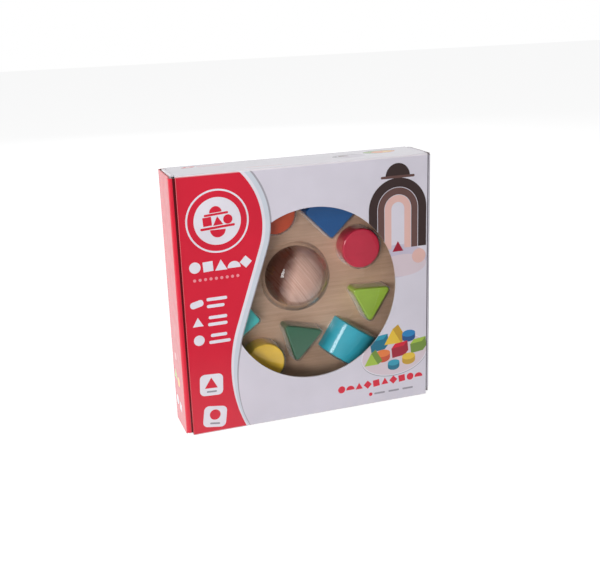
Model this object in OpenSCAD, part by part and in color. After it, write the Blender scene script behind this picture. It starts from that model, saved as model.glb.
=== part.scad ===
// Stacking balance game in its window carton.
// A round wooden board, a wooden half ball and nine painted blocks lie under a clear formed cover,
// inside a card sleeve whose two ends close with tuck flaps.
// Millimetres. X runs along the front panel, Y from front to back, Z up.
// The origin is on the table, under the middle of the sleeve.

/* [Wooden pieces] */
// Diameter of the round balance board
board_d = 240; // [228:1:290]
// Thickness of the balance board
board_t = 10; // [6:0.5:16]
// Rounding of the balance board's rim
board_edge_r = 2.5; // [0.5:0.1:3]
// Diameter of the half ball that the board rocks on
half_ball_d = 62; // [40:1:72]
// Diameter of the round blocks
round_block_d = 40; // [28:1:46]
// Side of the triangular blocks, to the sharp corners
triangle_side = 43; // [30:1:50]
// Side of the square blocks
square_side = 40; // [28:1:46]
// Thickness of the round, triangular and square blocks
block_t = 20; // [12:1:30]
// Diameter of the half round block
half_round_d = 51.5; // [34:0.5:54]
// Length of the half round block
half_round_len = 35.5; // [24:0.5:40]
// Rounding of the blocks' upright corners
corner_r = 3; // [2:0.1:5]
// Bevel along the blocks' face edges
edge_bevel = 1.2; // [0.4:0.1:1.8]

/* [Clear cover] */
// Thickness of the clear film
film_t = 0.5; // [0.3:0.1:0.8]
// Room between the board's rim and the film
board_clear = 0.5; // [0.3:0.1:1.5]
// Room beside a block in its bubble
bubble_clear = 1; // [0.4:0.1:2]
// Room in front of a block in its bubble
bubble_head = 0.6; // [0.3:0.1:2]
// Room between the half ball and its bubble
dome_clear = 4.5; // [1:0.1:6]

/* [Carton] */
// Thickness of the card
card_t = 1.5; // [0.8:0.1:2.2]
// Room between the board's rim and each end of the sleeve
end_room = 5; // [3:0.5:15]
// Room between the board's rim and the panels above and below it
head_room = 6; // [4:0.5:15]
// Room between the dome bubble and the front panel
front_room = 3; // [2:0.5:10]
// Inside radius of the sleeve's folds
fold_in = 0.3; // [0.2:0.1:1]
// Room between one card layer and the next at the ends
layer_gap = 0.5; // [0.3:0.1:1]
// Gap at a crease between a panel and its flap
crease_gap = 0.3; // [0.2:0.05:0.5]
// How much shorter than the sleeve's end a tuck flap is, above and below
flap_short = 0.6; // [0.5:0.1:4]
// How far the closed flaps bulge past the thickness of their layers
end_bulge = 2; // [0.8:0.1:3]
// Outside radius of a tuck flap's two folds
tuck_fold_r = 3.5; // [2.5:0.1:3.8]
// Length of a tuck flap's tongue
tongue_len = 12; // [8:0.5:16]
// Room above and below a tongue inside the sleeve
tongue_room = 0.7; // [0.5:0.1:8]
// Corner radius of a tongue's free end
tongue_r = 6; // [2:0.5:7]
// Room in front of a tongue when it swings out
swing_clear = 0.5; // [0.3:0.1:1]
// Length of a dust flap
dust_len = 30; // [20:1:34]
// From the tongue to a dust flap's front edge, clear of the tongue's swing
dust_front = 4; // [3.6:0.1:6]
// Room behind a dust flap, where it meets its panel
dust_back = 6; // [5.5:0.5:12]
// Slope of a dust flap's rear edge, across per length
dust_taper = 0.7; // [0.65:0.01:0.75]
// Width of the glued flap inside the top panel
glue_w = 14; // [8:1:20]
// How far the glued flap's ends stay inside the sleeve
glue_inset = 3; // [1:0.5:10]

/* [Window] */
// Diameter of the round window
window_d = 173; // [140:1:190]
// Window's centre, to the right of the panel's middle
window_x = 4; // [-5:0.5:10]
// Furthest right point of the printed band's edge, from the panel's middle
crest_x = -46; // [-60:1:-40]
// Height of that point above the table
crest_z = 204.5; // [190:0.5:215]
// Radius of the band's upper curve
crest_r = 72; // [50:1:100]
// Lean of the straight run between the two curves, in degrees
wave_lean = 19; // [10:0.5:25]
// Length of that straight run
wave_run = 81; // [50:1:100]
// Radius of the band's lower curve
trough_r = 141; // [100:1:180]
// Printed border between the band and the window's edge
window_rim = 8.2; // [4:0.1:14]

/* [Hidden] */
$fn = 64;

// Sleeve, worked out from what it holds
sleeve_w = board_d + 2 * end_room;
carton_h = board_d + 2 * (head_room + card_t);
dome_r = half_ball_d / 2 + dome_clear + film_t / 2;
carton_d = board_t + film_t / 2 + dome_r + front_room + 2 * card_t;
end_x = sleeve_w / 2;
front_y = -carton_d / 2;
back_y = carton_d / 2;
fold_r = card_t + fold_in;
board_back = back_y - card_t;
board_front = board_back - board_t;
board_z = carton_h / 2;
film_mid = board_front - film_t / 2;

// End closures
end_lift = 2 * (card_t + layer_gap) + end_bulge;
dust_lift = end_lift - card_t - layer_gap;
hinge_reach = carton_d - card_t;
tuck_gap = hinge_reach - sqrt(pow(hinge_reach - swing_clear, 2) - pow(tongue_len, 2));
tongue_y = front_y + card_t + tuck_gap;
tongue_inset = card_t + tongue_room;
dust_front_y = tongue_y + dust_front;
dust_back_y = back_y - dust_back;

// Clear cover
tray_bottom = fold_r;
tray_top = carton_h - 2 * card_t - layer_gap;
tray_w = sleeve_w - 2 * layer_gap;

// Printed band: normal and direction of its straight run, and the centres of its two curves
wave_n = [cos(wave_lean), -sin(wave_lean)];
wave_t = [sin(wave_lean), cos(wave_lean)];
crest_c = [crest_x - crest_r, crest_z];
trough_c = crest_c + (crest_r + trough_r) * wave_n - wave_run * wave_t;
curve_steps = 12;
corner_steps = 32;
crest_top_angle = 70;
trough_end_angle = 225;

// Places on the board: direction from its centre, in degrees, and distance as a share of its radius
half_ball_place = [110, 0.0825];
red_place = [28.6, 0.594];
orange_place = [108.6, 0.6925];
yellow_place = [239.3, 0.7025];
lime_place = [343.5, 0.632];
green_place = [265.8, 0.4447];
yellow_triangle_place = [157.1, 0.76];
blue_place = [67.2, 0.687];
turquoise_place = [196.6, 0.643];
teal_place = [306.8, 0.716];

// How far each block is turned, in degrees
lime_turn = 176.8;
green_turn = 165.8;
yellow_triangle_turn = 0;
blue_turn = 43.5;
turquoise_turn = 35;
teal_turn = 56.1;

// Colours
card_white = [0.84, 0.82, 0.87];
print_red = [0.85, 0.15, 0.23];
film_clear = [0.85, 0.9, 0.92, 0.35];
board_wood = [0.78, 0.64, 0.5];
ball_wood = [0.85, 0.68, 0.55];

function arc_points(c, r, from, to) =
    [for (i = [0:curve_steps]) let (a = from + (to - from) * i / curve_steps) c + r * [cos(a), sin(a)]];

function ring_points(n, r) = [for (i = [0:n - 1]) r * [cos(90 + 360 * i / n), sin(90 + 360 * i / n)]];

// Lays a shape drawn in X and Y upright, facing the front, with its base at depth y
module upright(y) {
    translate([0, y, 0]) rotate([90, 0, 0]) children();
}

// Puts an upright shape at its place on the board
module on_board(place, turn, y) {
    r = place[1] * board_d / 2;
    translate([r * cos(place[0]), 0, board_z + r * sin(place[0])])
        upright(y) rotate([0, 0, turn]) children();
}

// Regular outline with n rounded corners, whose sharp corners lie at radius r, grown by g
module rounded_outline(n, r, g) {
    offset(r = corner_r + g, $fn = corner_steps) polygon(ring_points(n, r - corner_r / cos(180 / n)));
}

module triangle_outline(g) {
    rounded_outline(3, triangle_side / sqrt(3), g);
}

module square_outline(g) {
    rotate(45) rounded_outline(4, square_side / sqrt(2), g);
}

// Block of thickness block_t with bevelled face edges
module bevelled_block() {
    hull() {
        linear_extrude(block_t) children(0);
        translate([0, 0, edge_bevel]) linear_extrude(block_t - 2 * edge_bevel) children(1);
    }
}

module triangle_block() {
    bevelled_block() {
        triangle_outline(-edge_bevel);
        triangle_outline(0);
    }
}

module square_block() {
    bevelled_block() {
        square_outline(-edge_bevel);
        square_outline(0);
    }
}

// Disc turned about Z, with both edges rounded
module rounded_disc(d, t, e) {
    rotate_extrude() {
        square([d / 2 - e, t]);
        translate([0, e]) square([d / 2, t - 2 * e]);
        for (z = [e, t - e]) translate([d / 2 - e, z]) circle(e);
    }
}

module round_block() {
    rounded_disc(round_block_d, block_t, edge_bevel);
}

// Half cylinder lying on its flat side along X, grown by g and reaching below its flat side
module half_round(g, below) {
    r = half_round_d / 2 + g;
    len = half_round_len + 2 * g;
    intersection() {
        rotate([0, 90, 0]) cylinder(r = r, h = len, center = true);
        translate([-len, -r - 1, -below]) cube([2 * len, 2 * r + 2, r + 1 + below]);
    }
}

module half_sphere(r) {
    intersection() {
        sphere(r);
        translate([-r - 1, -r - 1, 0]) cube([2 * r + 2, 2 * r + 2, r + 1]);
    }
}

// Spaces for all the pieces, grown by g sideways and e in front, from depth y
module bubbles(g, e, y) {
    rise = block_t + e + y - board_front;
    for (p = [red_place, orange_place, yellow_place])
        on_board(p, 0, y) cylinder(r = round_block_d / 2 + g, h = rise);
    for (p = [[lime_place, lime_turn], [green_place, green_turn],
              [yellow_triangle_place, yellow_triangle_turn]])
        on_board(p[0], p[1], y) linear_extrude(rise) triangle_outline(g);
    for (p = [[blue_place, blue_turn], [turquoise_place, turquoise_turn]])
        on_board(p[0], p[1], y) linear_extrude(rise) square_outline(g);
    on_board(teal_place, teal_turn, board_front) half_round(g, y - board_front);
}

// Half plane to the right of the printed band, moved right by o
module right_of_band(o) {
    polygon(concat(
        arc_points(crest_c, crest_r + o, crest_top_angle, -wave_lean),
        arc_points(trough_c, trough_r - o, 180 - wave_lean, trough_end_angle),
        [[sleeve_w, -carton_h], [sleeve_w, 2 * carton_h]]));
}

module window_outline() {
    intersection() {
        translate([window_x, carton_h / 2]) circle(d = window_d);
        right_of_band(window_rim);
    }
}

module quarter_ring(r, t) {
    intersection() {
        difference() {
            circle(r);
            circle(r - t);
        }
        square(r);
    }
}

// Upright panel of the sleeve, between its upper and lower folds
module wall(y) {
    translate([-end_x, y, fold_r]) cube([sleeve_w, card_t, carton_h - 2 * fold_r]);
}

module front_panel() {
    color(card_white)
    difference() {
        wall(front_y);
        upright(front_y + 2 * card_t) linear_extrude(3 * card_t) window_outline();
    }
}

module back_panel() {
    color(card_white) wall(back_y - card_t);
}

// Lower panel with its two folds, drawn in Y and Z and run along X
module bottom_panel() {
    color(card_white)
    translate([-end_x, 0, 0]) rotate([90, 0, 90]) linear_extrude(sleeve_w) {
        translate([front_y + fold_r, 0]) square([carton_d - 2 * fold_r, card_t]);
        for (m = [0, 1])
            mirror([m, 0]) translate([back_y - fold_r, fold_r])
                mirror([0, 1]) quarter_ring(fold_r, card_t);
    }
}

module top_panel() {
    color(card_white) translate([0, 0, carton_h]) mirror([0, 0, 1]) bottom_panel();
}

// Strip folded from the back panel and glued under the top panel
module glue_flap() {
    color(card_white)
    translate([glue_inset - end_x, back_y - fold_r - glue_w, carton_h - 2 * card_t])
        cube([sleeve_w - 2 * glue_inset, glue_w, card_t]);
}

// Right end flap: the fold from the back panel, the flat and the fold into the tongue
module tuck_flap() {
    fold_x = end_x + end_lift - tuck_fold_r;
    front_fold_y = tongue_y + tuck_fold_r;
    rear_fold_y = back_y - tuck_fold_r;
    hinge_x = end_x + crease_gap;
    translate([0, 0, flap_short]) linear_extrude(carton_h - 2 * flap_short) {
        translate([hinge_x, back_y - card_t]) square([fold_x - hinge_x, card_t]);
        translate([fold_x, rear_fold_y]) quarter_ring(tuck_fold_r, card_t);
        translate([end_x + end_lift - card_t, front_fold_y]) square([card_t, rear_fold_y - front_fold_y]);
    }
    translate([0, 0, tongue_inset]) linear_extrude(carton_h - 2 * tongue_inset) {
        translate([fold_x, front_fold_y]) mirror([0, 1]) quarter_ring(tuck_fold_r, card_t);
        translate([end_x, tongue_y]) square([fold_x - end_x, card_t]);
    }
}

// Tongue behind the front panel at the right end, with rounded free corners
module tongue() {
    long = tongue_len - crease_gap;
    tall = carton_h - 2 * tongue_inset;
    translate([end_x - crease_gap, 0, tongue_inset]) mirror([1, 0, 0])
        upright(tongue_y + card_t) linear_extrude(card_t) {
            square([long - tongue_r, tall]);
            translate([0, tongue_r]) square([long, tall - 2 * tongue_r]);
            for (z = [tongue_r, tall - tongue_r]) translate([long - tongue_r, z]) circle(tongue_r);
        }
}

// Dust flap folded down from the top panel at the right end, with its slanted rear edge
module dust_flap() {
    fold_x = end_x + dust_lift - fold_r;
    hinge_x = end_x + crease_gap;
    tip_back_y = dust_back_y - dust_taper * (dust_len - fold_r);
    intersection() {
        upright(dust_back_y) linear_extrude(dust_back_y - dust_front_y) {
            translate([hinge_x, carton_h - card_t]) square([fold_x - hinge_x, card_t]);
            translate([fold_x, carton_h - fold_r]) quarter_ring(fold_r, card_t);
            translate([end_x + dust_lift - card_t, carton_h - dust_len]) square([card_t, dust_len - fold_r]);
        }
        translate([end_x, 0, 0]) rotate([90, 0, 90]) linear_extrude(2 * dust_lift)
            polygon([[dust_front_y, carton_h + 1], [dust_back_y, carton_h + 1],
                     [dust_back_y, carton_h - fold_r], [tip_back_y, carton_h - dust_len],
                     [dust_front_y, carton_h - dust_len]]);
    }
}

module at_left() {
    mirror([1, 0, 0]) children();
}

module at_bottom() {
    translate([0, 0, carton_h]) mirror([0, 0, 1]) children();
}

module right_tuck_flap() { color(card_white) tuck_flap(); }
module right_tongue() { color(card_white) tongue(); }
module right_top_dust_flap() { color(card_white) dust_flap(); }
module right_bottom_dust_flap() { color(card_white) at_bottom() dust_flap(); }
module left_tuck_flap() { color(print_red) at_left() tuck_flap(); }
module left_tongue() { color(print_red) at_left() tongue(); }
module left_top_dust_flap() { color(card_white) at_left() dust_flap(); }
module left_bottom_dust_flap() { color(card_white) at_left() at_bottom() dust_flap(); }

// Clear formed sheet: a flange on the back panel, a round step over the board and a bubble per piece
module blister_cover() {
    step_r = board_d / 2 + board_clear;
    color(film_clear)
    difference() {
        union() {
            translate([-tray_w / 2, board_back - film_t, tray_bottom])
                cube([tray_w, film_t, tray_top - tray_bottom]);
            translate([0, 0, board_z]) upright(board_back)
                cylinder(r = step_r + film_t, h = board_t + film_t);
            bubbles(bubble_clear + film_t, bubble_head + film_t, film_mid);
            on_board(half_ball_place, 0, film_mid) half_sphere(dome_r);
        }
        translate([0, 0, board_z]) upright(board_back + 1) cylinder(r = step_r, h = board_t + 1);
        bubbles(bubble_clear, bubble_head, board_front + 1);
        on_board(half_ball_place, 0, film_mid) {
            half_sphere(dome_r - film_t);
            translate([0, 0, -1]) cylinder(r = dome_r - film_t, h = 1);
        }
    }
}

module balance_board() {
    color(board_wood)
    translate([0, 0, board_z]) upright(board_back) rounded_disc(board_d, board_t, board_edge_r);
}

module half_ball() {
    color(ball_wood) on_board(half_ball_place, 0, board_front) half_sphere(half_ball_d / 2);
}

module red_round_block() { color([0.78, 0.2, 0.27]) on_board(red_place, 0, board_front) round_block(); }
module orange_round_block() { color([0.85, 0.4, 0.2]) on_board(orange_place, 0, board_front) round_block(); }
module yellow_round_block() { color([0.93, 0.74, 0.2]) on_board(yellow_place, 0, board_front) round_block(); }

module lime_triangle_block() {
    color([0.6, 0.76, 0.22]) on_board(lime_place, lime_turn, board_front) triangle_block();
}

module green_triangle_block() {
    color([0.24, 0.48, 0.36]) on_board(green_place, green_turn, board_front) triangle_block();
}

module yellow_triangle_block() {
    color([0.93, 0.74, 0.2])
        on_board(yellow_triangle_place, yellow_triangle_turn, board_front) triangle_block();
}

module blue_square_block() {
    color([0.16, 0.36, 0.65]) on_board(blue_place, blue_turn, board_front) square_block();
}

module turquoise_square_block() {
    color([0.25, 0.74, 0.7]) on_board(turquoise_place, turquoise_turn, board_front) square_block();
}

module teal_half_round_block() {
    color([0.16, 0.62, 0.68]) on_board(teal_place, teal_turn, board_front) half_round(0, 0);
}

front_panel();
back_panel();
top_panel();
bottom_panel();
glue_flap();
left_tuck_flap();
left_tongue();
left_top_dust_flap();
left_bottom_dust_flap();
right_tuck_flap();
right_tongue();
right_top_dust_flap();
right_bottom_dust_flap();
blister_cover();
balance_board();
half_ball();
red_round_block();
orange_round_block();
yellow_round_block();
lime_triangle_block();
green_triangle_block();
yellow_triangle_block();
blue_square_block();
turquoise_square_block();
teal_half_round_block();
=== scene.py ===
"""Looks of a stacking balance game in its window carton.

Printed card, a clear formed cover, a wooden board, a half ball and painted blocks are built around the
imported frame. Lengths are in millimetres until a mesh is made; X is along the front, -Y the front, Z up.
"""

import math

import bmesh
import bpy
from mathutils import Matrix, Vector
from mathutils.geometry import delaunay_2d_cdt


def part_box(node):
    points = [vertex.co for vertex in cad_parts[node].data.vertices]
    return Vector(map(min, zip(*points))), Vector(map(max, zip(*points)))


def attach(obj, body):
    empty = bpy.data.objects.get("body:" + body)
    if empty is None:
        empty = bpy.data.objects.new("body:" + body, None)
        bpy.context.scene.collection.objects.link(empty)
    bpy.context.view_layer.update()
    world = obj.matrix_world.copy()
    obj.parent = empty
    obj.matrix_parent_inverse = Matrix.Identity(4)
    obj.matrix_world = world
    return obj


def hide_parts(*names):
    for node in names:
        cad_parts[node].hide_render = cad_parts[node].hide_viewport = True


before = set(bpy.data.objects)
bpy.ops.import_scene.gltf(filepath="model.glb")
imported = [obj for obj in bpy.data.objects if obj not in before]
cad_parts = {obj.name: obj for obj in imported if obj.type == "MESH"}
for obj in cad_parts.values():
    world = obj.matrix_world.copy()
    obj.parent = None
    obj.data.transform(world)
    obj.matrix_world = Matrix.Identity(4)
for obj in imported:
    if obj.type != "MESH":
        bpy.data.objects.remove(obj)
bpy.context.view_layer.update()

MM = 0.001


def mm_box(node):
    """Node's lowest and highest corners, in millimetres."""
    low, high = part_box(node)
    return low / MM, high / MM


# Sizes read from the frame
FRONT_LOW, FRONT_HIGH = mm_box("front_panel")
END_X = FRONT_HIGH.x
FRONT_Y = FRONT_LOW.y
CARD_T = FRONT_HIGH.y - FRONT_LOW.y
FOLD_R = FRONT_LOW.z
BACK_Y = mm_box("back_panel")[1].y
HEIGHT = mm_box("top_panel")[1].z
GLUE_LOW, GLUE_HIGH = mm_box("glue_flap")
FLAP_LOW, FLAP_HIGH = mm_box("right_tuck_flap")
TONGUE_LOW, TONGUE_HIGH = mm_box("right_tongue")
DUST_LOW, DUST_HIGH = mm_box("right_top_dust_flap")
COVER_LOW, COVER_HIGH = mm_box("blister_cover")
BOARD_LOW, BOARD_HIGH = mm_box("balance_board")
BOARD_R = (BOARD_HIGH.x - BOARD_LOW.x) / 2
BOARD_Z = (BOARD_HIGH.z + BOARD_LOW.z) / 2
BOARD_FRONT, BOARD_BACK = BOARD_LOW.y, BOARD_HIGH.y
BALL_LOW, BALL_HIGH = mm_box("half_ball")
BALL_R = BALL_HIGH.y - BALL_LOW.y
BALL_MIDDLE = (BALL_LOW + BALL_HIGH) / 2
ROUND_LOW, ROUND_HIGH = mm_box("red_round_block")
ROUND_R = (ROUND_HIGH.x - ROUND_LOW.x) / 2
BLOCK_T = ROUND_HIGH.y - ROUND_LOW.y
HALF_LOW, HALF_HIGH = mm_box("teal_half_round_block")
HALF_ROUND_R = HALF_HIGH.y - HALF_LOW.y

# Sizes that the frame's boxes don't give
TRIANGLE_SIDE = 43
SQUARE_SIDE = 40
HALF_ROUND_LEN = 35.5
CORNER_R = 3
EDGE_R = 1.4
CAP_INSET = 0.5
GLUE_CUT = 6
TONGUE_R = 6
TUCK_FOLD_R = 3.5
FLAP_NOTCH = 4
DUST_TAPER = 0.7
FILM_T = 0.4
BUBBLE_CLEAR = 1.2
BUBBLE_HEAD = 0.7
DOME_CLEAR = 4.7
CARD_GAP = 0.05
CREASE_GAP = 0.3

# Painted shadow printed dark along a tuck flap's tongue fold, where the slot by the front panel lies in
# shade: widths at the flap's lower and upper end
LEFT_SLOT_SHADOW = (1.5, 2.4)
RIGHT_SLOT_SHADOW = (2.7, 2.7)
# Painted shade: grey line on the right flap's fold, where it turns away from the light; where it starts and
# ends along the bend
RIGHT_SHADE_LINE = (1.2, 3.4)

# Curves of the clear cover and the ball's rim: growth outwards, and rise from the foot or from the top
STEP_FOOT = ((2.8, 0), (1.9, 0.15), (1.35, 0.7), (1.15, 1.8))
STEP_SHOULDER = ((0.85, -1.6), (0.5, -0.7), (-0.4, -0.12), (-1.4, 0))
BUBBLE_FOOT = ((1.7, 0), (1.0, 0.12), (0.55, 0.5), (0.38, 1.2), (0.3, 2.4))
BUBBLE_SHOULDER = ((0, -2.6), (-0.12, -1.5), (-0.6, -0.6), (-1.4, -0.15), (-2.3, 0), (-3, 0))
DOME_FOOT = ((2.6, 0), (1.4, 0.2), (0.6, 0.8), (0.15, 1.8))
BALL_RIM = ((-1.5, 0), (-0.8, 0), (-0.15, 0.5))
DOME_ANGLES = (5, 8, 12, *range(16, 89, 4), 89)
DOME_FLANGE = 2.7
VAULT_EASE, VAULT_FOOT, VAULT_LIP, VAULT_TIP = 2.5, 0.6, 1.2, 0.05
FLANGE_INSET = 0.5
FLANGE_R = 4

# Printed band and window: two arcs and a straight run, as in the window's cut edge, and the arcs' far ends
WINDOW_C = Vector((4, HEIGHT / 2))
WINDOW_R = 86.5
WINDOW_RIM = 8.2
CREST = Vector((-46, 204.5))
CREST_R = 72
WAVE_LEAN = 19
WAVE_RUN = 81
TROUGH_R = 141
CREST_TOP = 70
TROUGH_END = 225
BAND_STEPS = 40
# Printed rim: share of its width left near the table, where it starts to widen and how far up that goes on
RIM_LEAST = 0.4
RIM_LOW, RIM_RISE = 15, 70
# How far prints run past the ends, and up the folds as a share of the fold's radius
PRINT_PAST = 5
PRINT_FOLD = 0.3

# Pieces on the board: direction from its centre, share of its radius, turn
PLACES = {
    "half_ball": (110, 0.0825, 0),
    "red_round_block": (28.6, 0.594, 0),
    "orange_round_block": (108.6, 0.6925, 0),
    "yellow_round_block": (239.3, 0.7025, 0),
    "lime_triangle_block": (343.5, 0.632, 176.8),
    "green_triangle_block": (265.8, 0.4447, 165.8),
    "yellow_triangle_block": (157.1, 0.76, 0),
    "blue_square_block": (67.2, 0.687, 43.5),
    "turquoise_square_block": (196.6, 0.643, 35),
    "teal_half_round_block": (306.8, 0.716, 56.1),
}

# Painted shade on the half ball's upper left, darker and redder: side that it lies on, its soft edge's
# distance from the middle, waves and tint
SHADE_SIDE = (-0.87, 0.392, 0.296)
SHADE_EDGE = (2, 17)
SHADE_WAVE = 2
SHADE_TINT = (0.2, 0.115, 0.1)

# Clear film: share reflected straight on and edge-on, how late that grows, and its colours
FILM_REFLECTS = (0.035, 0.8)
FILM_FALLOFF = 4.0
FILM_STRAIGHT = (0.965, 0.97, 0.965, 1)
FILM_SHEEN = (0.9, 0.92, 0.92, 1)
FILM_MILK = (0.9, 0.9, 0.9, 1)
# Sheet and dome: tint seen edge-on, and share of white scatter there; the dome's brown tint, darker than the
# film's own, is painted shade on its rim
SHEET_LOOK = ((0.8, 0.77, 0.75, 1), 0.5)
DOME_LOOK = ((0.4, 0.34, 0.31, 1), 0.15)

# Photograph's camera
IMAGE_W = 600
FOCAL_PX = 925.8
SENSOR = 36
CAMERA_AT = Vector((-0.2862, -0.8367, 0.4013))
CAMERA_AZ, CAMERA_EL, CAMERA_ROLL = -18.74, 17.33, -1.96

# Soft light from all round; the room's brightness in reflections, and where along Y it fades to white
WORLD_LIGHT = 0.2
WORLD_TINT = (0.98, 0.985, 1, 1)
ROOM_SHINE = 0.18
ROOM_FADE = (-0.5, 0.1)
# Ground, metres: half its width and its level; light that it bounces, shows and gives; where it dims along Y
GROUND_REACH, GROUND_DROP = 6.0, -0.0006
GROUND_BOUNCE = 0.72
GROUND_LIT, GROUND_GLOW = 0.34, 0.87
GROUND_FADE = (-0.25, 0.0)
# Lamps: place, height that they aim at, width, height, power in watts, and whether they show as glints
LAMPS = {
    "left_light": ((-1.63, -0.94, 0.81), 0.13, 0.5, 0.95, 9, True),
    "side_light": ((-1.9, 0.25, 0.5), 0.13, 0.8, 0.8, 9, False),
    "key_light": ((-1.14, -1.76, 0.46), 0.13, 0.7, 0.4, 14, False),
    "front_light": ((-0.95, -1.9, 0.2), 0.13, 0.9, 0.6, 8, False),
    "high_light": ((-0.9, -1.6, 1.3), 0.13, 0.8, 0.6, 3, False),
    "far_light": ((1.7, 0.05, 0.5), 0.13, 0.8, 0.8, 6, False),
    "back_light": ((0.4, 1.9, 0.9), 0.13, 1.0, 0.8, 8, False),
    "top_light": ((-0.2, 0.1, 1.7), 0.2, 1.0, 1.0, 6, True),
}

# Paints of the blocks, sRGB
PAINTS = {
    "red": (205, 48, 74), "orange": (206, 81, 50), "yellow": (255, 208, 76), "lime": (160, 193, 72),
    "green": (62, 108, 84), "blue": (35, 89, 150), "turquoise": (84, 206, 206), "teal": (60, 174, 196),
}

# Print colours, sRGB; the last two dark colours are painted shadow for the tuck flaps' tongue folds
INKS = {
    "paper": (214, 209, 220), "red": (213, 31, 56), "white": (228, 224, 233), "pink": (233, 146, 156),
    "rim_pale": (205, 211, 221), "rim_grey": (164, 161, 170), "grey": (150, 146, 156),
    "dark_brown": (62, 47, 46), "brown": (104, 76, 72), "peach": (222, 180, 172),
    "lilac": (196, 187, 205), "rose": (213, 197, 205), "blue": (46, 130, 188), "navy": (40, 84, 138),
    "lime": (164, 192, 72), "olive": (116, 144, 62), "yellow": (228, 190, 66), "ochre": (196, 154, 52),
    "orange": (226, 124, 66), "rust": (198, 84, 56), "teal": (52, 152, 178),
    "deep_teal": (32, 112, 138), "maroon": (160, 34, 54), "red_crease": (84, 4, 14),
    "paper_crease": (84, 76, 88),
}


def linear(rgb):
    def one(c):
        c /= 255
        return c / 12.92 if c <= 0.04045 else ((c + 0.055) / 1.055) ** 2.4
    return tuple(one(c) for c in rgb) + (1.0,)


# Flat shapes, as lists of points


def polar(angle, r):
    return Vector((r * math.cos(math.radians(angle)), r * math.sin(math.radians(angle))))


def turned(points, at, angle=0):
    turn = Matrix.Rotation(math.radians(angle), 2)
    return [turn @ Vector(p) + Vector(at) for p in points]


def arc(c, r, start, end, steps=16):
    return [Vector(c) + polar(start + (end - start) * i / steps, r) for i in range(steps + 1)]


def disc(c, r, steps=40):
    return [Vector(c) + polar(360 * i / steps, r) for i in range(steps)]


def oval(c, rx, ry, angle=0, steps=40):
    return turned([(rx * p.x, ry * p.y) for p in disc((0, 0), 1, steps)], c, angle)


def box(c, w, h, angle=0, r=0):
    if not r:
        return turned([(-w / 2, -h / 2), (w / 2, -h / 2), (w / 2, h / 2), (-w / 2, h / 2)], c, angle)
    corners = ((w / 2 - r, h / 2 - r, 0), (r - w / 2, h / 2 - r, 90),
               (r - w / 2, r - h / 2, 180), (w / 2 - r, r - h / 2, 270))
    return turned([p for x, y, a in corners for p in arc((x, y), r, a, a + 90, steps=6)], c, angle)


def bar(c, w, h, angle=0):
    """Bar with nearly round ends."""
    return box(c, w, h, angle, r=h * 0.45)


def ngon(c, r, n, angle=90):
    return [Vector(c) + polar(angle + 360 * i / n, r) for i in range(n)]


def half_disc(c, r, angle=0):
    return turned(arc((0, 0), r, 0, 180, steps=24), c, angle)


def arch(c, outer, inner, leg):
    """Arch standing on two legs."""
    c = Vector(c)
    out = arc(c, outer, 0, 180, steps=28) + [c + Vector((-outer, -leg)), c + Vector((-inner, -leg))]
    return out + arc(c, inner, 180, 0, steps=28) + [c + Vector((inner, -leg)), c + Vector((outer, -leg))]


def left_turning(points):
    """Outline's points, anticlockwise."""
    points = [Vector(p) for p in points]
    area = sum(a.cross(b) for a, b in zip(points, points[1:] + points[:1]))
    return points if area > 0 else points[::-1]


def rounded_polygon(n, sharp_r, grow, first=90, steps=6):
    """Regular outline with rounded corners, grown by grow."""
    half = 180 / n
    inner_r = sharp_r - CORNER_R / math.cos(math.radians(half))
    return [p for i in range(n)
            for p in arc(polar(first + 360 * i / n, inner_r), CORNER_R + grow,
                         first + 360 * i / n - half, first + 360 * i / n + half, steps)]


# Card


class FoldPath:
    """Outer face of a folded card in one plane: straight runs joined by right-hand bends."""

    STEPS = 6

    def __init__(self, start, heading, *runs):
        self.parts, self.marks = [], []
        p, a, v = Vector(start), heading, 0.0
        for size, turn in runs:
            length = size * math.radians(turn) if turn else size
            self.parts.append((v, length, p, a, size if turn else 0))
            if turn:
                self.marks += [v + length * i / self.STEPS for i in range(self.STEPS + 1)]
                p = p - polar(a + 90, size) + polar(a + 90 - turn, size)
                a -= turn
            else:
                p = p + polar(a, length)
            v += length
        self.length = v

    def starts(self):
        return [part[0] for part in self.parts]

    def at(self, v):
        """Point, outward normal and how deep in a bend the point lies."""
        start, length, p, a, r = next(
            (part for part in self.parts if v <= part[0] + part[1]), self.parts[-1])
        if not r:
            return p + polar(a, v - start), polar(a + 90, 1), 0.0
        turn = math.degrees((v - start) / r)
        return p - polar(a + 90, r) + polar(a + 90 - turn, r), polar(a + 90 - turn, 1), \
            math.sin(math.pi * (v - start) / length)


# Share of paler colour on a sleeve's folds, part wear and part painted highlight, how far fold lines run
# past an outline, and the finest flat step
FOLD_WEAR_AND_HIGHLIGHT = 0.6
WORN_AND_LIT = linear((246, 238, 240))
LINE_PAST = 400
FLAT_STEP = 1e-4


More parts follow.
